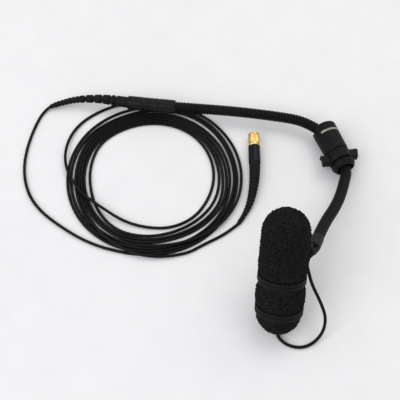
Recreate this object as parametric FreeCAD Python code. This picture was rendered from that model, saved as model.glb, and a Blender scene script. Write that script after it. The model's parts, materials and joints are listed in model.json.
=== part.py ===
"""Clip-on instrument microphone on a gooseneck, with its slider, lead and screw connector, in millimetres.

+Z is up and the object lies on the plane z = 0. X runs along the gooseneck from the lead's strain relief to the
slider, and the microphone leans up from the table at the front, towards -Y.
"""
import FreeCAD, Part
import math
import os

V = FreeCAD.Vector
UP = V(0, 0, 1)
OUT = "parts"

# Gooseneck
NECK_R = 2.95
NECK_BORE_R = 1.2
BALL_R = 2.9
SOCKET_R = 3.1
CABLE_R = 0.8
CABLE_START = 2.6
CABLE_STOP = 3.4
LYING_Z = 7.0

# Places along the gooseneck, from the lead's end to the microphone
FERRULE_BACK = V(-40.4, 65.2, LYING_Z)
FERRULE_FRONT = V(-13.7, 62.1, LYING_Z)
PIVOT_1 = V(7.5, 60.3, LYING_Z)
PIVOT_2 = V(27.0, 58.1, LYING_Z)
PIVOT_3 = V(45.5, 55.2, LYING_Z)
PIVOT_4 = V(77.2, 12.7, 8.2)
PIVOT_5 = V(73.4, 1.3, 11.7)
PIVOT_6 = V(68.5, -8.8, 16.2)
PIVOT_7 = V(62.6, -18.7, 21.4)
LAST_SECTION = 13.6

# Ferrule and the lead's strain relief
FERRULE_R = 3.85
CRIMP_R = 3.3
GROOVE = 0.4
NECK_IN_FERRULE = 12.0
BOOT_ROUTE = [FERRULE_BACK, V(-49.7, 67.2, 6.5), V(-56.6, 68.6, 5.8), V(-65.5, 69.4, 4.8),
              V(-72.8, 69.0, 3.9), V(-78.0, 67.8, 3.2), V(-82.6, 66.9, 2.4), V(-85.7, 65.6, 1.8)]
BOOT_RADII = [2.95, 2.9, 2.5, 2.1, 1.9, 1.75, 1.55, 1.15]

# The lead: free stretch, coil, free stretch
LEAD_R = 0.8
LEAD_OUT_ROUTE = [BOOT_ROUTE[-1], V(-88.6, 63.2, 1.1), V(-91.4, 57.3, 0.8), V(-94.0, 48.3, 0.8),
                  V(-95.9, 37.8, 0.8), V(-96.4, 27.0, 0.8), V(-94.6, 16.0, 0.8), V(-90.3, 5.9, 0.8),
                  V(-83.2, -2.6, 0.8), V(-74.0, -9.8, 0.8), V(-64.2, -16.4, 0.8), V(-54.6, -21.1, 0.8),
                  V(-46.0, -24.0, 0.8)]
COIL_CENTRE = V(-24.7, 18.0, 0)
COIL_SIZE = (49.0, 48.0)
COIL_HOLE = (31.5, 31.5)
COIL_HOLE_CENTRE = V(-25.7, 21.5, 0)
COIL_HEIGHT = 3.0

# Screw connector, along +Y
CONNECTOR_X = 30.2
CONNECTOR_Z = 3.3
BARREL_FRONT_Y = 37.8
BARREL_LENGTH = 11.0
BARREL_R = 3.3
LEAD_IN_ROUTE = [V(2.8, -19.6, 0.8), V(9.0, -17.1, 0.8), V(15.6, -13.1, 0.8), V(20.6, -8.9, 1.2)]
CONNECTOR_BOOT_ROUTE = [LEAD_IN_ROUTE[-1], V(23.6, -4.3, 1.5), V(26.4, 1.2, 2.1), V(28.1, 7.0, 2.6),
                        V(29.4, 14.0, 3.0), V(30.05, 20.5, 3.2),
                        V(CONNECTOR_X, BARREL_FRONT_Y - BARREL_LENGTH, CONNECTOR_Z)]
CONNECTOR_BOOT_RADII = [1.15, 1.5, 1.8, 2.05, 2.35, 2.6, 2.9]
NUT_R = 3.2
NUT_LENGTH = 8.0
THREAD_R = 2.1
THREAD_START = 2.6
PLUG_R = 2.4
PLUG_LENGTH = 2.3
PLUG_TAIL = 3.0
RUNNING = 0.05

# Slider: t runs along its axis from the end that faces the lead
SLIDER_END = V(68.5, 47.8, LYING_Z)
SLIDER_HEADING = -69.0
SLIDER_R = 7.0
SHOULDER_R = 6.65
CAP_LENGTH = 1.2
CAP_EDGE = 0.5
CHAMBER_R = 5.6
SHOULDER_T = 17.5
CHAMBER_END_T = 14.0
SPIGOT_R = 5.0
SLEEVE_R = 4.4
SLEEVE_T = (15.2, 22.9)
COLLAR_T = (17.7, 23.7)
WING_REACH = 10.9
WING_THICKNESS = 4.2
NOSE_T = (25.0, 28.4)
NOSE_END_R = 5.2
NOSE_MOUTH_R = 4.5
SLOT_DEPTH = 4.0
SLOT_RIGHT = 2.3
SLOT_HALF_HEIGHT = 3.5
MARK_T = (5.0, 6.2)
MARK_DEPTH = 0.25
MARK_HALF_ANGLE = 50.0

# Microphone: s runs along its axis from the rear of the foam
FOAM_R = 11.0
FOAM_FRONT_R = 11.3
FOAM_LENGTH = 65.0
FOAM_STEP_S = 35.0
FOAM_BORE_R = 4.75
FOAM_BORE_END = 50.0
MIC_LEAN = 52.0
MIC_AZIMUTH = 4.2
FOAM_REAR_CENTRE = V(38.4, -61.7, FOAM_R)
BAND_INNER_R = 11.3
BAND_OUTER_R = 12.0
REAR_BAND_S = (11.2, 15.2)
FRONT_BAND_S = (28.2, 31.8)
TUBE_R = 4.6
TUBE_WALL = 0.6
TUBE_S = (6.0, 48.0)
SWIVEL_S = 42.0
SWIVEL_ANGLE = 28.0
SWIVEL_REACH = 15.6
SPINE_ANGLE = 60.0
SPINE_WIDTH = 5.0
SPINE_R = (12.05, 14.0)
ARM_R = 2.1
ARM_FROM_END = 7.5
ARM_S = 30.0
ARM_REACH = 14.3
HOUSING_R = 3.4
HOUSING_LENGTH = 11.8
PIN_R = 1.8
PIN_LENGTH = 6.8

# Cable loop from the microphone's rear to the swivel housing; its two ends are worked out below
LOOP_MIDDLE = [V(39.0, -72.2, 0.9), V(43.2, -75.6, 0.85), V(49.5, -76.9, 0.85), V(55.8, -74.6, 1.7),
               V(60.4, -69.8, 4.6), V(61.4, -64.2, 9.6), V(58.2, -58.2, 15.4), V(54.0, -51.8, 20.6),
               V(52.0, -47.2, 26.0)]

ROUND_SHARE = 0.45


def save(name, shape):
    """Write one piece to its own file."""
    if not shape.isValid():
        print("NOT VALID", name)
    shape.exportStep(os.path.join(OUT, name + ".step"))
    print(f"{name}: {len(shape.Solids)} solid(s), {shape.Volume:.1f} mm3")


def unit(vector):
    return V(vector) / vector.Length


def rod(start, end, radius):
    return Part.makeCylinder(radius, (end - start).Length, start, end - start)


def route_edges(points, name=""):
    """Straight runs joined by tangent arcs, each as large as its two runs allow."""
    edges = []
    start = points[0]
    for before, corner, after in zip(points, points[1:], points[2:]):
        run_in = corner - before
        run_out = after - corner
        half_turn = run_in.getAngle(run_out) / 2
        setback = ROUND_SHARE * min(run_in.Length, run_out.Length)
        radius = setback / math.tan(half_turn)
        arc_start = corner - unit(run_in) * setback
        arc_end = corner + unit(run_out) * setback
        inward = unit(unit(run_out) - unit(run_in))
        middle = corner + inward * (radius / math.cos(half_turn) - radius)
        edges.append(Part.LineSegment(start, arc_start).toShape())
        edges.append(Part.Arc(arc_start, middle, arc_end).toShape())
        start = arc_end
        if name:
            print(f"{name} turn {math.degrees(2 * half_turn):.0f} degrees, radius {radius:.1f} mm")
    edges.append(Part.LineSegment(start, points[-1]).toShape())
    return edges


def tube(points, radius, name=""):
    """A round solid along a route."""
    if len(points) == 2:
        return rod(points[0], points[1], radius)
    path = Part.Wire(route_edges(points, name))
    circle = Part.Circle(points[0], points[1] - points[0], radius).toShape()
    solid = path.makePipe(Part.Face(Part.Wire(circle)))
    expected = math.pi * radius ** 2 * path.Length
    if name:
        print(f"{name} length {path.Length:.1f} mm, volume over section times length "
              f"{solid.Volume / expected:.4f}")
    return solid


def shifted_ends(points, before_start, after_end):
    """The route with its first and last points moved along their own runs."""
    first = points[0] - unit(points[1] - points[0]) * before_start
    last = points[-1] + unit(points[-1] - points[-2]) * after_end
    return [first] + points[1:-1] + [last]


def tapered_tube(points, radii):
    """A tapering solid along a route, smooth through a circle at each of its points."""
    circles = []
    for i, point in enumerate(points):
        along = points[min(i + 1, len(points) - 1)] - points[max(i - 1, 0)]
        circles.append(Part.Wire(Part.Circle(point, along, radii[i]).toShape()))
    return Part.makeLoft(circles, True)


def ring(outer_r, inner_r, low, high, origin=V(), axis=UP):
    base = origin + unit(axis) * low
    outer = Part.makeCylinder(outer_r, high - low, base, axis)
    return outer.cut(Part.makeCylinder(inner_r, high - low, base, axis))


def frame(origin, x_axis, z_axis):
    """The placement whose local X and Z axes are these."""
    y_axis = z_axis.cross(x_axis)
    return FreeCAD.Placement(origin, FreeCAD.Rotation(x_axis, y_axis, z_axis, "ZXY"))


def placed(shape, placement):
    copy = shape.copy()
    copy.transformShape(placement.toMatrix(), True)
    return copy


# ------------------------------------------------------------------ gooseneck

def neck_section(number, points, ball=True, socket=True):
    """One stretch of gooseneck: a ball at its start, a socket at its end, and the cable inside."""
    body = tube(points, NECK_R)
    if ball:
        body = body.fuse(Part.makeSphere(BALL_R, points[0]))
    if socket:
        body = body.cut(Part.makeSphere(SOCKET_R, points[-1]))
    body = body.cut(tube(shifted_ends(points, SOCKET_R, SOCKET_R), NECK_BORE_R))
    save(f"neck_{number}", body)
    cable = tube(shifted_ends(points, CABLE_START if ball else 0, -CABLE_STOP), CABLE_R)
    save(f"cable_in_neck_{number}", cable)


def along_slider(t, side=0.0, up=0.0):
    """The point at t along the slider's axis, to one side and up."""
    return slider_frame().multVec(V(t, side, up))


def slider_frame():
    return FreeCAD.Placement(SLIDER_END, FreeCAD.Rotation(UP, SLIDER_HEADING))


def gooseneck():
    neck_start = FERRULE_FRONT - unit(PIVOT_1 - FERRULE_FRONT) * NECK_IN_FERRULE
    neck_section(1, [neck_start, PIVOT_1], ball=False)
    neck_section(2, [PIVOT_1, PIVOT_2])
    neck_section(3, [PIVOT_2, PIVOT_3])
    through_slider = [PIVOT_3, V(56.5, 52.8, LYING_Z), along_slider(0.2, -2.5), along_slider(9.0),
                      along_slider(28.5), PIVOT_4]
    neck_section(4, through_slider)
    neck_section(5, [PIVOT_4, PIVOT_5])
    neck_section(6, [PIVOT_5, PIVOT_6])
    neck_section(7, [PIVOT_6, PIVOT_7])
    neck_section(8, [PIVOT_7, neck_end()], socket=False)


# ------------------------------------------------------------------ ferrule, lead and connector

def ferrule():
    axis = FERRULE_FRONT - FERRULE_BACK
    step = axis.Length / 3
    for i, name in enumerate(("ferrule_rear", "ferrule_middle", "ferrule_front")):
        low = i * step + GROOVE / 2
        high = (i + 1) * step - GROOVE / 2
        save(name, ring(FERRULE_R, CRIMP_R, low, high, FERRULE_BACK, axis))
    crimp = ring(CRIMP_R, NECK_R + 0.02, 0, axis.Length, FERRULE_BACK, axis)
    save("crimp_tube", crimp)
    save("strain_boot", tapered_tube(BOOT_ROUTE, BOOT_RADII))


def lead():
    save("lead_out", tube(LEAD_OUT_ROUTE, LEAD_R, "lead_out"))
    save("lead_in", tube(LEAD_IN_ROUTE, LEAD_R, "lead_in"))
    save("lead_coil", oval(COIL_CENTRE, COIL_SIZE).cut(oval(COIL_HOLE_CENTRE, COIL_HOLE)))


def oval(centre, half_sizes):
    """A flat oval plate as high as the coil."""
    if half_sizes[0] == half_sizes[1]:
        edge = Part.Circle(centre, UP, half_sizes[0]).toShape()
    else:
        edge = Part.Ellipse(centre, half_sizes[0], half_sizes[1]).toShape()
    return Part.Face(Part.Wire(edge)).extrude(V(0, 0, COIL_HEIGHT))


def connector():
    front = V(CONNECTOR_X, BARREL_FRONT_Y, CONNECTOR_Z)
    y_axis = V(0, 1, 0)

    def along(radius, low, high):
        return Part.makeCylinder(radius, high - low, front + y_axis * low, y_axis)

    save("connector_boot", tapered_tube(CONNECTOR_BOOT_ROUTE, CONNECTOR_BOOT_RADII))
    barrel = along(BARREL_R, -BARREL_LENGTH, -0.1).cut(along(PLUG_R, -PLUG_TAIL, 0))
    barrel = barrel.cut(along(1.5, -9.0, 0))
    save("connector_barrel", barrel)
    plug = along(PLUG_R, -PLUG_TAIL, PLUG_LENGTH).cut(along(1.4, -PLUG_TAIL, PLUG_LENGTH))
    save("plug_body", plug)
    pin = along(0.45, -PLUG_TAIL, PLUG_LENGTH)
    save("centre_pin", pin)
    save("plug_insulator", along(1.4, -PLUG_TAIL, PLUG_LENGTH).cut(pin))
    groove_r = PLUG_R + 0.4
    ring_t = (1.0, 1.8)
    retaining = along(groove_r - RUNNING, ring_t[0] + RUNNING, ring_t[1] - RUNNING)
    save("retaining_ring", retaining.cut(along(PLUG_R, 0, PLUG_LENGTH)))
    nut = along(NUT_R, 0, NUT_LENGTH).cut(along(PLUG_R + RUNNING, 0, THREAD_START))
    nut = nut.cut(along(THREAD_R, 0, NUT_LENGTH)).cut(along(groove_r, ring_t[0], ring_t[1]))
    save("coupling_nut", nut)


# ------------------------------------------------------------------ slider

def slider():
    """The slider is made along +X, then laid along its own axis."""
    x_axis = V(1, 0, 0)

    def along(radius, low, high):
        return Part.makeCylinder(radius, high - low, V(low, 0, 0), x_axis)

    def cone(low_r, high_r, low, high):
        return Part.makeCone(low_r, high_r, high - low, V(low, 0, 0), x_axis)

    def save_placed(name, shape):
        save(name, placed(shape, slider_frame()))

    slot = Part.makeBox(SLOT_DEPTH + 1, SLIDER_R + 2 + SLOT_RIGHT, 2 * SLOT_HALF_HEIGHT,
                        V(-1, -SLIDER_R - 2, -SLOT_HALF_HEIGHT))
    edge_start = SLIDER_R - CAP_EDGE
    cap = cone(edge_start, SLIDER_R, 0, CAP_EDGE).fuse(along(SLIDER_R, CAP_EDGE, CAP_LENGTH))
    cap = cap.fuse(along(CHAMBER_R, CAP_LENGTH, 2.4)).cut(slot)
    save_placed("slider_end_cap", cap)

    shell = cone(SLIDER_R, SHOULDER_R, CAP_LENGTH, SHOULDER_T)
    mark = shell.common(along(SLIDER_R, *MARK_T)).cut(along(SLIDER_R - MARK_DEPTH - 0.1, *MARK_T))
    mark = mark.common(wedge(MARK_T, MARK_HALF_ANGLE))
    barrel = shell.fuse(along(SPIGOT_R, SHOULDER_T, NOSE_T[0] + 1.5))
    barrel = barrel.cut(along(CHAMBER_R, 0, CHAMBER_END_T)).cut(along(SLEEVE_R, 0, NOSE_T[0] + 2))
    barrel = barrel.cut(slot).cut(mark)
    save_placed("slider_barrel", barrel)
    save_placed("slider_mark", mark)

    sleeve = along(SLEEVE_R, *SLEEVE_T).cut(along(NECK_R + RUNNING, *SLEEVE_T))
    save_placed("friction_sleeve", sleeve)

    collar = along(SHOULDER_R, *COLLAR_T)
    wing = Part.makeBox(COLLAR_T[1] - COLLAR_T[0] - 0.6, 2 * WING_REACH, WING_THICKNESS,
                        V(COLLAR_T[0] + 0.6, -WING_REACH, -WING_THICKNESS / 2))
    collar = collar.fuse(wing).cut(along(SPIGOT_R + RUNNING, *COLLAR_T))
    save_placed("wing_collar", collar)

    rim_t = NOSE_T[0] + 1.0
    nose = along(SHOULDER_R, NOSE_T[0], rim_t).fuse(cone(SHOULDER_R, NOSE_END_R, rim_t, NOSE_T[1]))
    nose = nose.cut(along(SPIGOT_R, NOSE_T[0], NOSE_T[0] + 1.5))
    nose = nose.cut(cone(SLEEVE_R, NOSE_MOUTH_R, NOSE_T[0], NOSE_T[1]))
    save_placed("slider_nose", nose)


def wedge(t_range, half_angle):
    """A fan about the slider's axis, open upwards, that picks out the marked part of the barrel."""
    reach = SLIDER_R * 1.5
    side = reach * math.sin(math.radians(half_angle))
    high = reach * math.cos(math.radians(half_angle))
    low = t_range[0]
    corners = [V(low, 0, 0), V(low, -side, high), V(low, -side, reach), V(low, side, reach),
               V(low, side, high), V(low, 0, 0)]
    return Part.Face(Part.makePolygon(corners)).extrude(V(t_range[1] - low, 0, 0))


# ------------------------------------------------------------------ head and microphone

def mic_frame():
    """Local Z along the microphone from the rear of its foam, X level to the right, Y away and down."""
    lean = math.radians(MIC_LEAN)
    azimuth = math.radians(MIC_AZIMUTH)
    axis = V(math.cos(lean) * math.sin(azimuth), math.cos(lean) * math.cos(azimuth), math.sin(lean))
    right = V(math.cos(azimuth), -math.sin(azimuth), 0)
    return frame(FOAM_REAR_CENTRE - axis * FOAM_R, right, axis)


def around_mic(s, angle, reach):
    """A point beside the microphone's axis, in the object's frame."""
    turn = math.radians(angle)
    return mic_frame().multVec(V(reach * math.cos(turn), reach * math.sin(turn), s))


def swivel_centre():
    return around_mic(SWIVEL_S, SWIVEL_ANGLE, SWIVEL_REACH)


def head_direction():
    return unit(swivel_centre() - PIVOT_7)


def neck_end():
    return PIVOT_7 + head_direction() * LAST_SECTION


def swivel():
    """The pin in the gooseneck's end and the housing that turns on it."""
    end = neck_end()
    axis = head_direction()
    pin = Part.makeCylinder(PIN_R, PIN_LENGTH, end, axis)
    pin = pin.fuse(Part.makeCylinder(PIN_R + 0.8, 1.0, end + axis * PIN_LENGTH, axis))
    pin = pin.cut(Part.makeCylinder(CABLE_R + 0.1, PIN_LENGTH + 2, end - axis * 0.5, axis))
    save("swivel_pin", pin)
    housing = Part.makeCylinder(HOUSING_R, HOUSING_LENGTH, end + axis * 0.3, axis)
    housing = housing.cut(Part.makeCylinder(PIN_R + RUNNING, PIN_LENGTH, end, axis))
    housing = housing.cut(Part.makeCylinder(PIN_R + 1.0, 1.4, end + axis * (PIN_LENGTH - 0.1), axis))
    housing = housing.cut(rod(loop_exit() - loop_direction() * 3.0, loop_exit(), CABLE_R + 0.3))
    arm = rod(end + axis * ARM_FROM_END, around_mic(ARM_S, SPINE_ANGLE, ARM_REACH), ARM_R)
    arm = arm.cut(Part.makeCylinder(HOUSING_R, 2 * HOUSING_LENGTH, end, axis))
    save("swivel_housing", housing)
    spine = Part.makeBox(SPINE_R[1] - SPINE_R[0] + 1.5, SPINE_WIDTH, FRONT_BAND_S[1] - REAR_BAND_S[0],
                         V(SPINE_R[0] - 1.5, -SPINE_WIDTH / 2, REAR_BAND_S[0]))
    spine.rotate(V(), UP, SPINE_ANGLE)
    carrier = placed(spine, mic_frame()).fuse(arm)
    clear = placed(Part.makeCylinder(SPINE_R[0], FOAM_LENGTH), mic_frame())
    save("band_carrier", carrier.cut(clear).removeSplitter())
    for name, span in (("rear_band", REAR_BAND_S), ("front_band", FRONT_BAND_S)):
        save(name, placed(ring(BAND_OUTER_R, BAND_INNER_R, *span), mic_frame()))


def loop_direction():
    """Where the cable loop leaves the housing: onwards and down."""
    axis = head_direction()
    down = unit(axis * axis.z - UP)
    return unit(axis * 0.6 + down * 0.8)


def loop_exit():
    return neck_end() + head_direction() * (HOUSING_LENGTH - 1.2) + loop_direction() * 3.2


def foam():
    """The windscreen: two rounded ends, slightly wider in front of the bands, open at the rear."""
    rear = Part.makeSphere(FOAM_R, V(0, 0, FOAM_R))
    rear = rear.fuse(Part.makeCylinder(FOAM_R, FOAM_STEP_S - FOAM_R, V(0, 0, FOAM_R)))
    front_centre = FOAM_LENGTH - FOAM_FRONT_R
    front = Part.makeCylinder(FOAM_FRONT_R, front_centre - FOAM_STEP_S, V(0, 0, FOAM_STEP_S))
    front = front.fuse(Part.makeSphere(FOAM_FRONT_R, V(0, 0, front_centre)))
    return rear.fuse(front).cut(Part.makeCylinder(FOAM_BORE_R, FOAM_BORE_END)).removeSplitter()


def holes(count, circle_r, hole_r, low, high):
    """A ring of round holes with one in the middle."""
    centres = [V(0, 0, low)]
    for i in range(count):
        angle = 2 * math.pi * i / count
        centres.append(V(circle_r * math.cos(angle), circle_r * math.sin(angle), low))
    return Part.makeCompound([Part.makeCylinder(hole_r, high - low, centre) for centre in centres])


def microphone():
    def save_placed(name, shape):
        save(name, placed(shape, mic_frame()))

    save_placed("windscreen", foam())
    inner_r = TUBE_R - TUBE_WALL
    body = ring(TUBE_R, inner_r, *TUBE_S)
    for i in range(3):
        slot = Part.makeBox(2 * TUBE_R + 2, 1.2, 2.0, V(-TUBE_R - 1, -0.6, 38.5 + 3 * i))
        for angle in (0, 90):
            cut = slot.copy()
            cut.rotate(V(), UP, angle)
            body = body.cut(cut)
    save_placed("mic_tube", body)
    capsule_r = inner_r - 0.05
    lining_r = capsule_r - 0.5
    case = ring(capsule_r, lining_r, 29.0, 36.0).fuse(ring(capsule_r, 1.0, 28.4, 29.0))
    save_placed("capsule_case", case)
    save_placed("capsule_grid", Part.makeCylinder(capsule_r, 0.8, V(0, 0, 47.0)).cut(
        holes(8, 2.4, 0.45, 46.5, 48.5)))
    save_placed("diaphragm", Part.makeCylinder(lining_r, 0.15, V(0, 0, 35.0)))
    save_placed("spacer_ring", ring(lining_r, lining_r - 0.7, 34.6, 35.0))
    save_placed("backplate", Part.makeCylinder(lining_r, 1.0, V(0, 0, 33.6)).cut(
        holes(6, 1.9, 0.35, 33.0, 35.0)))
    save_placed("preamp_board", Part.makeBox(6.4, 1.0, 18.0, V(-3.2, -0.5, 9.0)))
    cap = ring(TUBE_R, 1.0, 3.6, 6.0).fuse(ring(inner_r - 0.05, 1.0, 6.0, 7.5))
    save_placed("rear_cap", cap)
    gland = Part.makeCone(1.3, 2.2, 2.8, V(0, 0, 0.8)).cut(Part.makeCylinder(CABLE_R + 0.05, 3, V(0, 0, 0.8)))
    save_placed("cable_gland", gland)


def cable_loop():
    """The microphone's own cable, from its gland down to the table and up to the swivel housing."""
    start = around_mic(2.4, 0, 0)
    below = around_mic(-1.1, 0, 0)
    end = loop_exit()
    before_end = end + loop_direction() * 3.6
    save("cable_loop", tube([start, below] + LOOP_MIDDLE + [before_end, end], CABLE_R, "cable_loop"))
    print("loop ends:", start, below, before_end, end)


os.makedirs(OUT, exist_ok=True)
gooseneck()
ferrule()
lead()
connector()
slider()
swivel()
microphone()
cable_loop()
print("slider axis", along_slider(1) - along_slider(0), "sleeve at", along_slider(20))
print("neck end", neck_end(), "head direction", head_direction(), "swivel", swivel_centre())
print("mic axis", around_mic(1, 0, 0) - around_mic(0, 0, 0), "mic rear", around_mic(0, 0, 0))
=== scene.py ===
"""Visual model of a clip-on gooseneck microphone: foam in rubber bands, slider, coiled lead and connector."""
import bpy
import json
import math
import numpy as np
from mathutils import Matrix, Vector, noise


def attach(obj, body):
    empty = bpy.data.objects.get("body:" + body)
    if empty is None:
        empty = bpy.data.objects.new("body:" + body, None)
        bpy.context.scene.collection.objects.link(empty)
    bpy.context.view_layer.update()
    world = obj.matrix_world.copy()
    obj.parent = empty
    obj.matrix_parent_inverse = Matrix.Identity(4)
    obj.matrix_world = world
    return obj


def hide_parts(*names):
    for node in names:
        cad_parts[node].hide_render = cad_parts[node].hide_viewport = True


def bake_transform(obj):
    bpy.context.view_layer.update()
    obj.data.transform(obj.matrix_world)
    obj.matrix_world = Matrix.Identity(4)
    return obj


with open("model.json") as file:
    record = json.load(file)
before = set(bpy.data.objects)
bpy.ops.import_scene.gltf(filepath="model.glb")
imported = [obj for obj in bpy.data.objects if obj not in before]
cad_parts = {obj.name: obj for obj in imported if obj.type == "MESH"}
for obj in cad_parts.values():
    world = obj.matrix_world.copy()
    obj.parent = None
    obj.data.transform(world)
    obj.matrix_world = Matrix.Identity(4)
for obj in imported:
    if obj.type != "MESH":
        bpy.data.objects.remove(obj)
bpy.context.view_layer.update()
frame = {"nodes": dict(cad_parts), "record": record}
record = frame["record"]
MM = 0.001
UP = np.array((0.0, 0.0, 1.0))


def unit(v):
    v = np.asarray(v, float)
    return v / np.linalg.norm(v)


# ------------------------------------------------------------------ camera

camera_data = bpy.data.cameras.new("camera")
camera_data.lens = 72
camera_data.sensor_width = 36
camera_data.clip_start = 0.01
camera = bpy.data.objects.new("camera", camera_data)
camera.location = (0.0003, -0.20247, 0.37609)
camera.rotation_euler = (math.radians(29), 0, 0)
bpy.context.collection.objects.link(camera)
bpy.context.scene.camera = camera


# ------------------------------------------------------------------ routes, in mm

FERRULE_BACK = (-40.4, 65.2, 7.0)
FERRULE_FRONT = (-13.7, 62.1, 7.0)
PIVOT_1 = (7.5, 60.3, 7.0)
PIVOT_2 = (27.0, 58.1, 7.0)
PIVOT_3 = (45.5, 55.2, 7.0)
PIVOT_4 = (77.2, 12.7, 8.2)
PIVOT_5 = (73.4, 1.3, 11.7)
PIVOT_6 = (68.5, -8.8, 16.2)
PIVOT_7 = (62.6, -18.7, 21.4)
NECK_END = (57.517, -30.004, 26.999)
HEAD_AXIS = unit((-0.37376, -0.83115, 0.41168))
SLIDER_END = np.array((68.5, 47.8, 7.0))
SLIDER_AXIS = unit((0.35837, -0.93358, 0.0))
MIC_AXIS = unit((0.04509, 0.61401, 0.78801))
MIC_REAR = np.array((37.904, -68.454, 2.332))
MIC_RIGHT = unit((MIC_AXIS[1], -MIC_AXIS[0], 0.0))
MIC_DOWN = np.cross(MIC_AXIS, MIC_RIGHT)
CONNECTOR_X = 30.2
CONNECTOR_Z = 3.3
CONNECTOR_FRONT_Y = 37.8
BARREL_LENGTH = 11.0

BOOT_ROUTE = [FERRULE_BACK, (-49.7, 67.2, 6.5), (-56.6, 68.6, 5.8), (-65.5, 69.4, 4.8),
              (-72.8, 69.0, 3.9), (-78.0, 67.8, 3.2), (-82.6, 66.9, 2.4), (-85.7, 65.6, 1.8)]
LEAD_OUT_ROUTE = [BOOT_ROUTE[-1], (-88.6, 63.2, 1.1), (-91.4, 57.3, 0.8), (-94.0, 48.3, 0.8),
                  (-95.9, 37.8, 0.8), (-96.4, 27.0, 0.8), (-94.6, 16.0, 0.8), (-90.3, 5.9, 0.8),
                  (-83.2, -2.6, 0.8), (-74.0, -9.8, 0.8), (-64.2, -16.4, 0.8), (-54.6, -21.1, 0.8),
                  (-46.0, -24.0, 0.8)]
LEAD_IN_ROUTE = [(2.8, -20.6, 0.8), (9.0, -17.4, 0.8), (15.6, -13.2, 0.8), (20.6, -8.9, 1.2)]
CONNECTOR_BOOT_ROUTE = [LEAD_IN_ROUTE[-1], (23.6, -4.3, 1.5), (26.4, 1.2, 2.1), (28.1, 7.0, 2.6),
                        (29.4, 14.0, 3.0), (30.05, 20.5, 3.2),
                        (CONNECTOR_X, CONNECTOR_FRONT_Y - BARREL_LENGTH, CONNECTOR_Z)]
LOOP_ROUTE = [(38.01, -66.98, 4.22), (37.85, -69.13, 1.47), (39.0, -72.2, 0.9), (43.2, -75.6, 0.85),
              (49.5, -76.9, 0.85), (55.8, -74.6, 1.7), (60.4, -69.8, 4.6), (61.4, -64.2, 9.6),
              (58.2, -58.2, 15.4), (54.0, -51.8, 20.6), (52.0, -47.2, 26.0), (51.11, -44.25, 28.08),
              (52.41, -41.37, 29.82)]

# The coil's turns: distance from its middle every TURN_STEP degrees, anticlockwise from FIRST_ANGLE.
COIL_MIDDLE = (-24.7, 19.5)
LEAD_R = 0.8
COIL_TURNS = [
    #270   300   330   0     30    60    90    120   150   180   210   240
    [46.1, 45.6, 45.3, 45.2, 45.0, 46.6, 46.9, 47.4, 47.9, 47.0, 46.4, 45.6],
    [44.4, 43.9, 43.7, 43.6, 43.6, 44.9, 44.4, 44.3, 46.2, 45.0, 44.6, 43.9],
    [42.7, 42.2, 42.1, 41.2, 41.2, 41.5, 42.3, 42.6, 44.4, 42.2, 42.9, 42.2],
    [41.0, 43.8, 47.0, 47.5, 47.9, 48.4, 50.6, 53.6, 55.4, 46.6, 34.0, 30.6],
    [30.4, 32.6, 31.9, 32.4, 33.4, 34.9, 35.4, 36.2, 37.4, 34.4, 35.3, 36.9],
    [35.4, 34.5, 35.8, 35.3, 35.6, 36.6, 37.1, 37.8, 39.4, 37.7, 37.9, 38.6],
    [37.4, 36.8, 38.8, 37.2, 37.4, 38.3, 38.8, 39.4, 41.1, 39.3, 39.6, 40.2],
    [39.3, 38.5, 40.5, 39.3, 39.2, 39.9, 40.5, 41.0, 42.8, 40.8, 41.2, 44.6],
    [47.8, 48.4],
]
TURN_STEP = 30.0
FIRST_ANGLE = 270.0
COIL_START = 262.0
COIL_END = 290.0 + 8 * 360.0
COIL_POINTS = 121

# Where a turn passes over others: the angle at the middle of the hump, and half its length, in degrees.
COIL_HUMPS = [(195.0 + 4 * 360.0, 62.0), (312.0 + 3 * 360.0, 50.0), (238.0 + 8 * 360.0, 46.0)]
HUMP_HEIGHT = 1.75


def coil_radius(angle):
    """The coil's radius, smooth through the turns' distances."""
    radii = [r for turn in COIL_TURNS for r in turn]
    place = (angle - FIRST_ANGLE) / TURN_STEP
    i = int(math.floor(place))
    part = place - i
    a, b, c, d = (radii[min(max(j, 0), len(radii) - 1)] for j in (i - 1, i, i + 1, i + 2))
    return b + 0.5 * part * (c - a + part * (2 * a - 5 * b + 4 * c - d + part * (3 * (b - c) + d - a)))


def coil_height(angle):
    height = LEAD_R
    for middle, half in COIL_HUMPS:
        away = min(abs(angle - middle) / half, 1.0)
        height += HUMP_HEIGHT * min(1.0, 1.9 * (0.5 + 0.5 * math.cos(math.pi * away)))
    return height


def coil_points():
    """Control points round the coil, a little outside it, because a smooth spline runs inside its points."""
    step = (COIL_END - COIL_START) / COIL_POINTS
    outside = 1 / math.cos(math.radians(step / 2))
    points = []
    for i in range(COIL_POINTS + 1):
        angle = COIL_START + i * step
        reach = coil_radius(angle) * outside
        turn = math.radians(angle)
        points.append((COIL_MIDDLE[0] + reach * math.cos(turn), COIL_MIDDLE[1] + reach * math.sin(turn),
                       coil_height(angle)))
    return points


# ------------------------------------------------------------------ mesh helpers

def nurbs(name, route):
    """A smooth curve object with the route's points as its control points."""
    data = bpy.data.curves.new(name, "CURVE")
    data.dimensions = "3D"
    data.resolution_u = 12
    spline = data.splines.new("NURBS")
    spline.points.add(len(route) - 1)
    for point, place in zip(spline.points, route):
        point.co = (place[0] * MM, place[1] * MM, place[2] * MM, 1.0)
    spline.order_u = 3
    spline.use_endpoint_u = True
    obj = bpy.data.objects.new(name, data)
    bpy.context.collection.objects.link(obj)
    return obj


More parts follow.
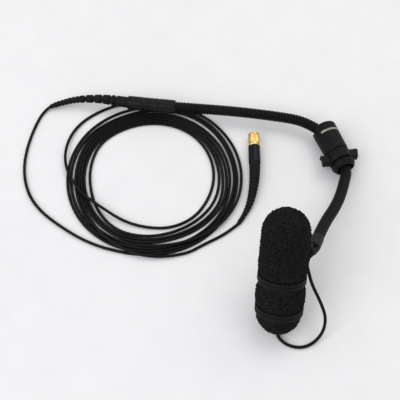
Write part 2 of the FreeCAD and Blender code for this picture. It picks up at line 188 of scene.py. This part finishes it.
def smooth_line(route):
    """Points read from the route's smooth curve, with their distances along it and a steady frame, in mm."""
    curve = nurbs("line", route)
    mesh = bpy.data.meshes.new_from_object(curve)
    points = np.array([v.co for v in mesh.vertices]) / MM
    bpy.data.objects.remove(curve)
    bpy.data.meshes.remove(mesh)
    keep = np.concatenate(([True], np.linalg.norm(np.diff(points, axis=0), axis=1) > 1e-6))
    points = points[keep]
    along = np.concatenate(([0.0], np.cumsum(np.linalg.norm(np.diff(points, axis=0), axis=1))))
    tangents = np.gradient(points, along, axis=0)
    tangents /= np.linalg.norm(tangents, axis=1)[:, None]
    side = unit(np.cross(tangents[0], UP if abs(tangents[0][2]) < 0.9 else (1.0, 0.0, 0.0)))
    sides = []
    for t in tangents:
        side = unit(side - t * np.dot(side, t))
        sides.append(side)
    return {"points": points, "along": along, "tangents": tangents, "sides": np.array(sides)}


def nearest(line, place):
    """Distance along the line of the point nearest to a place."""
    return line["along"][np.argmin(np.linalg.norm(line["points"] - np.array(place), axis=1))]


def new_mesh(name, verts, faces):
    mesh = bpy.data.meshes.new(name)
    mesh.from_pydata([tuple(v) for v in verts], [], faces)
    mesh.update()
    obj = bpy.data.objects.new(name, mesh)
    bpy.context.collection.objects.link(obj)
    return obj


def skin(name, rings, hollow=False):
    """A mesh through rings of points in mm: capped at both ends, or joined end to end if hollow."""
    count, sides = rings.shape[:2]
    faces = []
    last = count if hollow else count - 1
    for i in range(last):
        for j in range(sides):
            k = (j + 1) % sides
            m = (i + 1) % count
            faces.append((i * sides + j, i * sides + k, m * sides + k, m * sides + j))
    if not hollow:
        faces.append(tuple(range(sides - 1, -1, -1)))
        faces.append(tuple(range((count - 1) * sides, count * sides)))
    return new_mesh(name, rings.reshape(-1, 3) * MM, faces)


def sweep(name, line, start, end, radius, step=0.25, sides=32):
    """A tube along part of a line. radius takes the distance along and the angle round."""
    s = np.linspace(start, end, max(2, int(round((end - start) / step)) + 1))
    angle = np.linspace(0, 2 * math.pi, sides, endpoint=False)
    centre = np.stack([np.interp(s, line["along"], line["points"][:, i]) for i in range(3)], 1)
    tangent = np.stack([np.interp(s, line["along"], line["tangents"][:, i]) for i in range(3)], 1)
    side = np.stack([np.interp(s, line["along"], line["sides"][:, i]) for i in range(3)], 1)
    tangent /= np.linalg.norm(tangent, axis=1)[:, None]
    side -= tangent * np.sum(side * tangent, 1)[:, None]
    side /= np.linalg.norm(side, axis=1)[:, None]
    other = np.cross(tangent, side)
    r = radius(s[:, None], angle[None, :]) * np.ones((len(s), sides))
    rings = (centre[:, None, :] + side[:, None, :] * (r * np.cos(angle))[:, :, None]
             + other[:, None, :] * (r * np.sin(angle))[:, :, None])
    return skin(name, rings)


def axes(axis, first=None):
    """Two directions square to an axis and to each other, the first as near as can be to the one given."""
    axis = unit(axis)
    first = unit(np.cross(UP, axis)) if first is None else unit(first - axis * np.dot(first, axis))
    return first, np.cross(axis, first)


def lathe(name, profile, origin, axis, sides=64, hollow=False, first=None):
    """A turned shape: profile is a list of (distance along the axis, radius)."""
    x, y = axes(axis, first)
    profile = np.array(profile, float)
    angle = np.linspace(0, 2 * math.pi, sides, endpoint=False)
    ring = np.outer(np.cos(angle), x) + np.outer(np.sin(angle), y)
    rings = (np.array(origin, float) + profile[:, 0, None, None] * unit(axis)
             + profile[:, 1, None, None] * ring[None])
    return skin(name, rings, hollow)


def rounded(profile, size=0.3, closed=False):
    """The profile with its corners cut by small arcs."""
    points = [np.array(p, float) for p in profile]
    count = len(points)
    out = []
    for i, corner in enumerate(points):
        if not closed and i in (0, count - 1):
            out.append(corner)
            continue
        before = points[(i - 1) % count] - corner
        after = points[(i + 1) % count] - corner
        cut = min(size, 0.45 * np.linalg.norm(before), 0.45 * np.linalg.norm(after))
        a = corner + unit(before) * cut
        b = corner + unit(after) * cut
        for t in (0.0, 0.25, 0.5, 0.75, 1.0):
            out.append((1 - t) ** 2 * a + 2 * t * (1 - t) * corner + t * t * b)
    return out


def block(name, outline, origin, x_axis, y_axis, thickness, edge=0.25):
    """A plate: an outline in its own plane given a thickness, with softened edges."""
    x = unit(x_axis)
    y = unit(y_axis)
    z = np.cross(x, y)
    outline = np.array(outline, float)
    middle = outline.mean(axis=0)
    layers = []
    for height, inset in ((-0.5, 1.0), (-0.5, 0.3), (-0.5, 0.0), (0.5, 0.0), (0.5, 0.3), (0.5, 1.0)):
        inward = outline - middle
        length = np.linalg.norm(inward, axis=1)[:, None]
        flat = middle + inward * (1 - inset * edge / length)
        lift = height * thickness - math.copysign(edge * (1 - inset) * (inset < 0.9), height)
        layers.append(np.array(origin, float) + flat[:, :1] * x + flat[:, 1:] * y + lift * z)
    return skin(name, np.array(layers))


def combine(target, other, operation):
    """Join or cut one mesh with another, and remove the other."""
    change = target.modifiers.new("combine", "BOOLEAN")
    change.operation = operation
    change.solver = "EXACT"
    change.object = other
    bpy.context.view_layer.update()
    result = bpy.data.meshes.new_from_object(target.evaluated_get(bpy.context.evaluated_depsgraph_get()))
    target.modifiers.clear()
    target.data = result
    bpy.data.objects.remove(other)
    return target


def finish_piece(obj, material, body=None, stands_for=(), sharp=38.0):
    """Shading, material and body of a piece; hides the parts it stands for."""
    if obj.type == "MESH":
        obj.data.shade_smooth()
        obj.data.set_sharp_from_angle(angle=math.radians(sharp))
    obj.data.materials.clear()
    obj.data.materials.append(material)
    if body:
        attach(obj, body)
    if stands_for:
        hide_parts(*stands_for)
    return obj


# ------------------------------------------------------------------ materials

def procedural(name, dark, light, rough, grain, bump, metallic=0.0, spots=0.5, coat=0.0, shine=0.12):
    """A node material: two tones mixed by noise of scale grain (per metre), uneven gloss and a fine bump."""
    material = bpy.data.materials.new(name)
    material.use_nodes = True
    nodes = material.node_tree.nodes
    links = material.node_tree.links
    shader = nodes["Principled BSDF"]
    place = nodes.new("ShaderNodeTexCoord")
    broad = nodes.new("ShaderNodeTexNoise")
    broad.inputs["Scale"].default_value = grain * 0.12
    broad.inputs["Detail"].default_value = 3
    fine = nodes.new("ShaderNodeTexNoise")
    fine.inputs["Scale"].default_value = grain
    fine.inputs["Detail"].default_value = 4
    fine.inputs["Roughness"].default_value = 0.6
    links.new(place.outputs["Object"], broad.inputs["Vector"])
    links.new(place.outputs["Object"], fine.inputs["Vector"])
    mixed = nodes.new("ShaderNodeMath")
    mixed.operation = "MULTIPLY_ADD"
    mixed.inputs[1].default_value = spots
    links.new(fine.outputs["Fac"], mixed.inputs[0])
    share = nodes.new("ShaderNodeMath")
    share.operation = "MULTIPLY"
    share.inputs[1].default_value = 1 - spots
    links.new(broad.outputs["Fac"], share.inputs[0])
    links.new(share.outputs["Value"], mixed.inputs[2])
    tones = nodes.new("ShaderNodeValToRGB")
    tones.color_ramp.elements[0].position = 0.36
    tones.color_ramp.elements[0].color = (*dark, 1)
    tones.color_ramp.elements[1].position = 0.66
    tones.color_ramp.elements[1].color = (*light, 1)
    links.new(mixed.outputs["Value"], tones.inputs["Fac"])
    links.new(tones.outputs["Color"], shader.inputs["Base Color"])
    gloss = nodes.new("ShaderNodeMapRange")
    gloss.inputs["From Min"].default_value = 0.3
    gloss.inputs["From Max"].default_value = 0.7
    gloss.inputs["To Min"].default_value = rough[0]
    gloss.inputs["To Max"].default_value = rough[1]
    links.new(mixed.outputs["Value"], gloss.inputs["Value"])
    links.new(gloss.outputs["Result"], shader.inputs["Roughness"])
    relief = nodes.new("ShaderNodeBump")
    relief.inputs["Strength"].default_value = 0.6
    relief.inputs["Distance"].default_value = bump * MM
    links.new(fine.outputs["Fac"], relief.inputs["Height"])
    links.new(relief.outputs["Normal"], shader.inputs["Normal"])
    shader.inputs["Metallic"].default_value = metallic
    shader.inputs["Specular IOR Level"].default_value = shine
    if coat:
        shader.inputs["Coat Weight"].default_value = coat
        shader.inputs["Coat Roughness"].default_value = 0.25
    return material


cable_black = procedural("cable_black", (0.003, 0.003, 0.0035), (0.008, 0.008, 0.009), (0.3, 0.48), 1500,
                         0.02)
neck_black = procedural("neck_black", (0.002, 0.002, 0.0024), (0.007, 0.007, 0.0078), (0.42, 0.58),
                        1800, 0.03)
boot_rubber = procedural("boot_rubber", (0.004, 0.004, 0.0045), (0.011, 0.011, 0.012), (0.5, 0.68), 2200,
                         0.03)
ferrule_black = procedural("ferrule_black", (0.003, 0.003, 0.004), (0.009, 0.009, 0.011), (0.26, 0.42),
                           1300, 0.015, coat=0.08)
slider_black = procedural("slider_black", (0.003, 0.003, 0.0035), (0.009, 0.009, 0.010), (0.42, 0.58),
                          3000, 0.03)
soft_rubber = procedural("soft_rubber", (0.015, 0.015, 0.015), (0.03, 0.03, 0.03), (0.6, 0.8), 1500, 0.04)
band_rubber = procedural("band_rubber", (0.003, 0.003, 0.003), (0.008, 0.008, 0.008), (0.44, 0.62),
                         1800, 0.03)
foam_black = procedural("foam_black", (0.0005, 0.0005, 0.0005), (0.018, 0.018, 0.018), (0.92, 1.0),
                        1250, 0.5, spots=0.92, shine=0.1)
gold = procedural("gold", (0.72, 0.45, 0.13), (0.95, 0.68, 0.30), (0.16, 0.32), 1200, 0.01, metallic=1.0,
                  shine=0.5)
steel = procedural("steel", (0.42, 0.42, 0.44), (0.66, 0.66, 0.68), (0.25, 0.42), 1600, 0.01, metallic=1.0,
                   shine=0.5)
insulator = procedural("insulator", (0.72, 0.72, 0.69), (0.86, 0.86, 0.83), (0.4, 0.55), 1500, 0.02)
tube_black = procedural("tube_black", (0.010, 0.010, 0.010), (0.024, 0.024, 0.024), (0.5, 0.7), 1700, 0.02)
lug_grey = procedural("lug_grey", (0.010, 0.011, 0.013), (0.024, 0.026, 0.030), (0.4, 0.55), 2000, 0.02)
board = procedural("board", (0.01, 0.08, 0.03), (0.04, 0.2, 0.08), (0.3, 0.5), 1400, 0.02)
slider_mark = procedural("slider_mark", (0.18, 0.17, 0.14), (0.50, 0.48, 0.41), (0.55, 0.75), 2400, 0.02)
MATERIALS = {"cable_black": cable_black, "neck_black": neck_black, "boot_rubber": boot_rubber,
             "ferrule_black": ferrule_black, "slider_black": slider_black, "soft_rubber": soft_rubber,
             "band_rubber": band_rubber, "foam": foam_black, "gold": gold, "steel": steel,
             "insulator": insulator, "tube_black": tube_black, "board": board, "slider_mark": slider_mark}

for part in record["subparts"]:
    node = frame["nodes"][part["node"]]
    node.data.materials.clear()
    node.data.materials.append(MATERIALS[part["material_slot"]])


# ------------------------------------------------------------------ connector and its strain relief

def along_connector(t):
    return np.array((CONNECTOR_X, CONNECTOR_FRONT_Y + t, CONNECTOR_Z))


boot_line = smooth_line(CONNECTOR_BOOT_ROUTE)
boot_length = boot_line["along"][-1]
RELIEF_PITCH = 2.2
RELIEF_GROOVE = 0.34
RELIEF_RAISE = 0.08


def connector_boot_radius(s, angle):
    """Ribs with grooves between them, growing towards the barrel; the last stretch is a plain collar."""
    base = np.interp(s, [0, 6, 12, 20, 28, boot_length - 2, boot_length],
                     [1.02, 1.3, 1.78, 2.3, 2.7, 2.95, 3.0])
    phase = np.abs((s / RELIEF_PITCH) % 1.0 - 0.5) * 2
    groove = np.clip((0.42 - phase) / 0.24, 0, 1)
    ends = np.clip((s - 3.0) / 1.0, 0, 1) * np.clip((boot_length - 1.2 - s) / 0.6, 0, 1)
    return base + RELIEF_RAISE - RELIEF_GROOVE * groove * ends


connector_boot = sweep("connector_relief", boot_line, 0, boot_length, connector_boot_radius, step=0.18,
                       sides=40)
finish_piece(connector_boot, boot_rubber, "tail", ["connector_boot"])

barrel_profile = [(-BARREL_LENGTH, 1.5), (-BARREL_LENGTH, 3.0), (-10.5, 3.3), (-1.6, 3.3), (-1.5, 3.12),
                  (-1.1, 3.12), (-1.0, 3.3), (-0.1, 3.3), (-0.1, 2.45), (-2.9, 2.45), (-3.2, 1.5)]
barrel = lathe("connector_shell", rounded(barrel_profile, 0.15, closed=True), along_connector(0), (0, 1, 0),
               hollow=True)
finish_piece(barrel, ferrule_black, "tail", ["connector_barrel"])


def knurled_nut():
    """The coupling nut: a straight knurl between two plain rims."""
    profile = rounded([(0.0, 2.47), (0.0, 3.0), (0.35, 3.2), (1.5, 3.2), (1.6, 3.02), (1.9, 3.02),
                       (2.0, 3.14), (6.8, 3.14), (6.9, 3.0), (7.2, 3.0), (7.3, 3.2), (7.8, 3.2), (8.0, 3.0),
                       (8.0, 2.15), (2.7, 2.12), (2.6, 2.47), (1.85, 2.47), (1.8, 2.78), (1.0, 2.78),
                       (0.95, 2.47)],
                      0.1, closed=True)
    nut = lathe("coupling_ring", profile, along_connector(0), (0, 1, 0), sides=144, hollow=True)
    centre = Vector(along_connector(0) * MM)
    for vertex in nut.data.vertices:
        out = vertex.co - centre
        t = out.y / MM
        out.y = 0
        if 2.02 < t < 6.78 and out.length > 2.9 * MM:
            turn = math.atan2(out.z, out.x)
            depth = 0.07 * (1 + math.cos(48 * turn)) * MM
            vertex.co -= out.normalized() * depth
    return nut


nut = knurled_nut()
finish_piece(nut, gold, "nut", ["coupling_nut"], sharp=50)


# ------------------------------------------------------------------ the lead

lead_route = LEAD_OUT_ROUTE + coil_points() + LEAD_IN_ROUTE
lead = nurbs("lead", lead_route)
lead.data.bevel_depth = LEAD_R * MM
lead.data.bevel_resolution = 5
lead.data.use_fill_caps = True
lead_line = smooth_line(lead_route)
finish_piece(lead, cable_black, "tail", ["lead_out", "lead_coil", "lead_in"])


# ------------------------------------------------------------------ the microphone's own cable

loop_line = smooth_line(LOOP_ROUTE)
loop_length = float(loop_line["along"][-1])
loop = sweep("microphone_cable", loop_line, 0, loop_length, lambda s, a: LEAD_R, step=0.5, sides=24)
finish_piece(loop, cable_black, None, ["cable_loop"])
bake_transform(loop)


# ------------------------------------------------------------------ strain relief and ferrule

relief_line = smooth_line(BOOT_ROUTE)
relief_length = relief_line["along"][-1]
STRAIN_GROOVES = (7.2, 10.1, 15.1, 20.1, 25.1)
FINE_RIB_PITCH = 2.2
FINE_RIB_DEPTH = 0.34


def strain_radius(s, angle):
    """A smooth sleeve, lengths parted by round grooves, then a fine ribbed taper to the lead."""
    base = np.interp(s, [0, 9, 12, 20, 27, 33, 38, 43, relief_length],
                     [3.05, 3.0, 2.75, 2.35, 2.1, 1.95, 1.8, 1.6, 1.2])
    notch = 0
    for middle in STRAIN_GROOVES:
        notch = notch + 0.75 * np.clip(1 - (np.abs(s - middle) / 0.65) ** 2, 0, 1) ** 0.5
    fine = FINE_RIB_DEPTH * (0.5 + 0.5 * np.cos(2 * math.pi * s / FINE_RIB_PITCH))
    return base - notch - fine * np.clip((s - 27.0) / 1.5, 0, 1)


relief = sweep("strain_relief", relief_line, 0, relief_length, strain_radius, step=0.16, sides=40)
finish_piece(relief, boot_rubber, "tail", ["strain_boot"])

ferrule_axis = unit(np.array(FERRULE_FRONT) - np.array(FERRULE_BACK))
ferrule_step = np.linalg.norm(np.array(FERRULE_FRONT) - np.array(FERRULE_BACK)) / 3
for i, (name, node) in enumerate((("sleeve_rear", "ferrule_rear"), ("sleeve_middle", "ferrule_middle"),
                                  ("sleeve_front", "ferrule_front"))):
    low = i * ferrule_step + 0.02
    high = (i + 1) * ferrule_step - 0.02
    waist = 3.78 if i == 1 else 3.84
    outside = [(low, 3.32), (low, 3.6), (low + 0.5, 3.85), (low + 3.0, waist), (high - 3.0, waist),
               (high - 0.5, 3.85), (high, 3.6), (high, 3.32)]
    piece = lathe(name, rounded(outside, 0.25, closed=True), FERRULE_BACK, ferrule_axis, sides=72,
                  hollow=True)
    finish_piece(piece, ferrule_black, "tail", [node])


# ------------------------------------------------------------------ gooseneck

def along_slider(t, side=0.0):
    across = np.array((-SLIDER_AXIS[1], SLIDER_AXIS[0], 0.0))
    return SLIDER_END + SLIDER_AXIS * t + across * side


neck_start = np.array(FERRULE_FRONT) - unit(np.array(PIVOT_1) - np.array(FERRULE_FRONT)) * 12.0
neck_route = [neck_start, PIVOT_1, PIVOT_2, PIVOT_3, (56.5, 52.8, 7.0), along_slider(0.2, -2.5),
              along_slider(9.0), along_slider(16.0), along_slider(24.0), along_slider(30.0), PIVOT_4, PIVOT_5,
              PIVOT_6, PIVOT_7, NECK_END]
neck_line = smooth_line(neck_route)
SLIDER_S = nearest(neck_line, SLIDER_END)
NECK_R = 2.97
RIB_PITCH = 1.65


def neck_radius(s, angle):
    """Round ribs, like a wound and coated tube: deep up to the slider, softer beyond it."""
    rib = np.abs(np.sin(math.pi * s / RIB_PITCH)) ** 0.7
    depth = np.interp(s, [SLIDER_S, SLIDER_S + 30.0], [0.48, 0.26])
    return NECK_R - depth * (1 - rib)


def halfway(a, b):
    return nearest(neck_line, (np.array(a) + np.array(b)) / 2)


cuts = [0.0, halfway(neck_start, PIVOT_1) + 6, halfway(PIVOT_1, PIVOT_2), halfway(PIVOT_2, PIVOT_3),
        nearest(neck_line, PIVOT_3) + 7.0, nearest(neck_line, along_slider(30.6)), halfway(PIVOT_4, PIVOT_5),
        halfway(PIVOT_5, PIVOT_6), halfway(PIVOT_6, PIVOT_7), nearest(neck_line, PIVOT_7) + 6.0,
        neck_line["along"][-1]]
spans = [("tail", None, ["neck_1"]), ("tail", "neck_a", []), ("neck_a", "neck_b", ["neck_2"]),
         ("neck_b", "grip", ["neck_3"]), ("grip", None, ["neck_4"]), ("grip", "neck_c", []),
         ("neck_c", "neck_d", ["neck_5"]), ("neck_d", "neck_e", ["neck_6"]), ("neck_e", "neck_f", ["neck_7"]),
         ("neck_f", None, ["neck_8"])]
for number, ((body, next_body, stands_for), start, end) in enumerate(zip(spans, cuts, cuts[1:]), 1):
    piece = sweep(f"gooseneck_{number}", neck_line, start, end, neck_radius, step=RIB_PITCH / 10, sides=36)
    finish_piece(piece, neck_black, None if next_body else body, stands_for, sharp=60)
    if next_body:
        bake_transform(piece)


# ------------------------------------------------------------------ slider

def slot_cutter():
    """The mouth in the slider's end through which the gooseneck comes in from the side."""
    outline = [(-1.5, -10.0), (3.0, -10.0), (3.0, 1.2), (2.4, 2.3), (-1.5, 2.3)]
    return block("cutter", outline, SLIDER_END, SLIDER_AXIS, np.cross(UP, SLIDER_AXIS), 7.0, edge=0.01)


cap_profile = [(0.0, 2.0), (0.0, 6.0), (0.15, 6.5), (0.6, 6.95), (1.2, 7.0), (1.2, 5.6), (2.4, 5.5),
               (2.4, 2.0)]
cap = lathe("slider_cap", rounded(cap_profile, 0.2, closed=True), SLIDER_END, SLIDER_AXIS, sides=96,
            hollow=True)
cap = combine(cap, slot_cutter(), "DIFFERENCE")
finish_piece(cap, slider_black, "slider", ["slider_end_cap"])

shell_profile = [(1.25, 5.7), (1.25, 6.98), (1.5, 7.0), (4.0, 6.95), (16.9, 6.7), (17.4, 6.6), (17.5, 5.1),
                 (26.5, 5.0), (26.5, 4.45), (14.1, 4.45), (13.9, 5.7)]
shell = lathe("slider_shell", rounded(shell_profile, 0.12, closed=True), SLIDER_END, SLIDER_AXIS, sides=96,
              hollow=True)
shell = combine(shell, slot_cutter(), "DIFFERENCE")
finish_piece(shell, slider_black, "slider", ["slider_barrel"])


def mark_piece():
    """A plain pale bar printed round the top of the barrel."""
    rows = []
    across = np.cross(UP, SLIDER_AXIS)
    for lift in (0.03, -0.12):
        for t in (5.0, 6.2) if lift > 0 else (6.2, 5.0):
            row = []
            for angle in np.linspace(math.radians(-52), math.radians(40), 33):
                reach = 7.0 - 0.0215 * (t - 1.2) + lift
                row.append(SLIDER_END + SLIDER_AXIS * t + UP * reach * math.cos(angle)
                           + across * reach * math.sin(-angle))
            rows.append(row)
    rings = np.array(rows).transpose(1, 0, 2)
    return skin("slider_bar", rings)


mark = mark_piece()
finish_piece(mark, slider_mark, "slider", ["slider_mark"])

collar_profile = [(17.7, 5.06), (17.7, 6.3), (18.0, 6.55), (18.9, 6.62), (19.1, 6.35), (19.6, 6.35),
                  (19.8, 6.62), (23.3, 6.62), (23.7, 6.3), (23.7, 5.06)]
collar = lathe("slider_collar", rounded(collar_profile, 0.15, closed=True), SLIDER_END, SLIDER_AXIS, sides=96,
               hollow=True)
WING_SWEEP = 0.27
WING_ROOT = 5.6


def wing_outline(side):
    """A finger tab seen from above: (distance along, distance out), with a ribbed tip."""
    outline = [(18.5, WING_ROOT), (18.5, 8.6), (18.2, 9.3), (18.3, 10.2)]
    for i in range(5):
        tip = 10.95 - side * 0.36 * (i - 2 + side * 2)
        outline.append((18.8 + i * 0.95, tip))
        outline.append((18.8 + i * 0.95 + 0.45, tip))
        outline.append((18.8 + i * 0.95 + 0.55, tip - 0.35))
        outline.append((18.8 + i * 0.95 + 0.85, tip - 0.35))
    outline += [(23.7, tip - 0.7), (23.5, 8.4), (23.4, WING_ROOT)]
    length = 1.0 if side > 0 else 0.9
    outline = [(t + side * WING_SWEEP * (out - WING_ROOT), side * (WING_ROOT + (out - WING_ROOT) * length))
               for t, out in outline]
    return outline if side < 0 else outline[::-1]


for side in (1, -1):
    tab = block(f"tab_{side}", wing_outline(side), SLIDER_END, SLIDER_AXIS, np.cross(UP, SLIDER_AXIS), 4.2,
                edge=0.35)
    collar = combine(collar, tab, "UNION")
finish_piece(collar, slider_black, "collar", ["wing_collar"])

nose_profile = [(25.0, 5.05), (25.0, 6.3), (25.3, 6.6), (26.0, 6.65), (27.3, 6.1), (28.4, 5.35), (28.4, 4.5),
                (26.6, 4.45), (26.5, 5.05)]
nose = lathe("slider_nose_cup", rounded(nose_profile, 0.25, closed=True), SLIDER_END, SLIDER_AXIS, sides=96,
             hollow=True)
finish_piece(nose, slider_black, "slider", ["slider_nose"])


# ------------------------------------------------------------------ swivel, carrier and bands

def beside_mic(s, angle, reach):
    turn = math.radians(angle)
    return MIC_REAR + MIC_AXIS * s + MIC_RIGHT * reach * math.cos(turn) + MIC_DOWN * reach * math.sin(turn)


neck_tip = np.array(NECK_END)
LUG_T = 9.4
LUG_R = 2.9
upwards_and_forwards = np.array((0.0, -0.48, 0.88))
hole_out = unit(upwards_and_forwards - HEAD_AXIS * np.dot(upwards_and_forwards, HEAD_AXIS))
housing_profile = [(0.04, 0.2), (0.04, 2.95), (0.5, 3.2), (1.2, 3.3), (7.6, 3.3), (8.3, 3.1), (8.5, 2.4),
                   (8.5, 0.2)]
housing = lathe("swivel_shell", rounded(housing_profile, 0.2), neck_tip, HEAD_AXIS, sides=72)
lug_profile = [(-2.2, 0.2), (-2.2, 2.3), (-1.5, LUG_R), (1.5, LUG_R), (2.2, 2.3), (2.2, 0.2)]
lug = lathe("lug", rounded(lug_profile, 0.4), neck_tip + HEAD_AXIS * LUG_T, hole_out, sides=64)
housing = combine(housing, lug, "UNION")
cavity = lathe("cavity", [(-0.5, 1.86), (6.7, 1.86), (6.7, 2.85), (8.1, 2.85)], neck_tip, HEAD_AXIS, sides=64)
housing = combine(housing, cavity, "DIFFERENCE")
hole = lathe("hole", [(0.4, 0.95), (4.2, 0.95)], neck_tip + HEAD_AXIS * LUG_T, hole_out, sides=32)
housing = combine(housing, hole, "DIFFERENCE")
finish_piece(housing, lug_grey, "head", ["swivel_housing"])

spine_out = beside_mic(0, 60, 1.0) - beside_mic(0, 60, 0.0)
spine_across = np.cross(MIC_AXIS, spine_out)
spine_side = [(11.4, 1.8), (12.2, 2.5), (15.2, 2.5), (17.0, 1.7), (26.5, 1.7), (28.2, 2.5), (31.0, 2.5),
              (31.7, 1.8)]
spine_outline = [(t, -out) for t, out in spine_side] + spine_side[::-1]
carrier = block("band_holder", spine_outline, MIC_REAR + spine_out * 13.03, MIC_AXIS, spine_across, 1.9,
                edge=0.3)
ARM_R = 2.5
arm_start = neck_tip + HEAD_AXIS * 10.2
arm_stop = beside_mic(30, 60, 14.2)
arm_route = [arm_start, (arm_start + arm_stop) / 2 + spine_out * 0.6, arm_stop]
arm_line = smooth_line([tuple(p) for p in arm_route])
arm = sweep("arm", arm_line, 0, arm_line["along"][-1], lambda s, a: ARM_R, step=0.5, sides=32)
carrier = combine(carrier, arm, "UNION")
finish_piece(carrier, slider_black, "head", ["band_carrier"])

BANDS = (("band_rear", "rear_band", 11.2, 15.2), ("band_front", "front_band", 28.2, 31.8))
for name, node, low, high in BANDS:
    span = high - low
    profile = [(low, 11.2), (low, 11.6), (low + 0.3, 11.8), (low + span * 0.42, 11.85),
               (low + span * 0.48, 11.55), (low + span * 0.58, 11.55), (low + span * 0.64, 11.85),
               (high - 0.3, 11.8), (high, 11.6), (high, 11.2)]
    band = lathe(name, rounded(profile, 0.15, closed=True), MIC_REAR, MIC_AXIS, sides=128, hollow=True)
    finish_piece(band, band_rubber, "head", [node])


# ------------------------------------------------------------------ foam windscreen

FOAM_LENGTH = 65.0
FOAM_REAR_R = 11.0
FOAM_FRONT_R = 11.4
FOAM_ROWS = 300
FOAM_COLUMNS = 270


def foam_profile():
    """Evenly spaced (distance along, radius) from the rear hole, past both bands, to the tip."""
    corners = [(3.2, 2.3), (1.2, 2.2), (0.45, 2.6)]
    for angle in np.linspace(20, 90, 15):
        turn = math.radians(angle)
        corners.append((FOAM_REAR_R * (1 - math.cos(turn)), FOAM_REAR_R * math.sin(turn)))
    corners += [(11.4, 10.85), (13.2, 10.8), (15.2, 10.85), (15.9, 11.3), (17.5, 11.8), (20.5, 12.0),
                (24.0, 11.75), (25.6, 11.1), (26.4, 10.85), (30.0, 10.8), (31.8, 10.85), (32.6, 11.35),
                (34.0, 11.65), (40.0, 11.65), (48.0, 11.5)]
    front = FOAM_LENGTH - FOAM_FRONT_R
    for angle in np.linspace(0, 89.5, 18):
        turn = math.radians(angle)
        corners.append((front + FOAM_FRONT_R * math.sin(turn), FOAM_FRONT_R * math.cos(turn)))
    corners = np.array(corners)
    along = np.concatenate(([0.0], np.cumsum(np.linalg.norm(np.diff(corners, axis=0), axis=1))))
    even = np.linspace(0, along[-1], FOAM_ROWS)
    return np.stack([np.interp(even, along, corners[:, i]) for i in (0, 1)], 1)


def foam_mesh():
    profile = foam_profile()
    foam = lathe("windscreen_foam", profile, MIC_REAR, MIC_AXIS, sides=FOAM_COLUMNS)
    normals = [v.normal.copy() for v in foam.data.vertices]
    axis = Vector(MIC_AXIS)
    rear = Vector(MIC_REAR * MM)
    for vertex, normal in zip(foam.data.vertices, normals):
        s = (vertex.co - rear).dot(axis) / MM
        place = vertex.co / MM
        cells = noise.voronoi(place * 0.7)[0]
        pits = -0.5 * max(0.0, 1.0 - cells[0] / 0.42)
        tufts = max(0.0, noise.noise(place * 1.7 + Vector((7, 3, 1))))
        fuzz = 0.42 * noise.noise(place) + 0.7 * tufts ** 1.3
        broad = 0.16 * noise.noise(place * 0.16)
        held = 0.25 if 8.9 < s < 15.5 or 25.9 < s < 32.1 else 1.0
        vertex.co += normal * (pits + fuzz + broad) * held * MM
        vertex.co.z = max(vertex.co.z, 0.03 * MM)
    return foam


foam = foam_mesh()
finish_piece(foam, foam_black, "mic", ["windscreen"], sharp=180)


# ------------------------------------------------------------------ floor and light

floor = new_mesh("floor", [(-2, -2, 0), (2, -2, 0), (2, 2, 0), (-2, 2, 0)], [(0, 1, 2, 3)])
floor_white = procedural("floor_white", (0.80, 0.80, 0.81), (0.84, 0.84, 0.85), (0.55, 0.65), 60, 0.0)
floor.data.materials.append(floor_white)

world = bpy.data.worlds.new("studio")
world.use_nodes = True
world.node_tree.nodes["Background"].inputs["Color"].default_value = (0.985, 0.99, 1.0, 1)
world.node_tree.nodes["Background"].inputs["Strength"].default_value = 0.68
bpy.context.scene.world = world
bpy.context.scene.view_settings.view_transform = "Standard"


def area_light(name, place, target, size, power, colour):
    data = bpy.data.lights.new(name, "AREA")
    data.shape = "RECTANGLE"
    data.size = size[0]
    data.size_y = size[1]
    data.energy = power
    data.color = colour
    light = bpy.data.objects.new(name, data)
    light.location = place
    light.rotation_euler = (Vector(target) - Vector(place)).to_track_quat("-Z", "Y").to_euler()
    bpy.context.collection.objects.link(light)


area_light("key", (0.5, 0.8, 1.25), (0, 0, 0), (1.2, 1.0), 6.5, (1.0, 0.98, 0.95))
area_light("fill", (-0.9, -0.6, 1.1), (0, 0, 0), (1.2, 1.2), 9.5, (0.98, 0.99, 1.0))
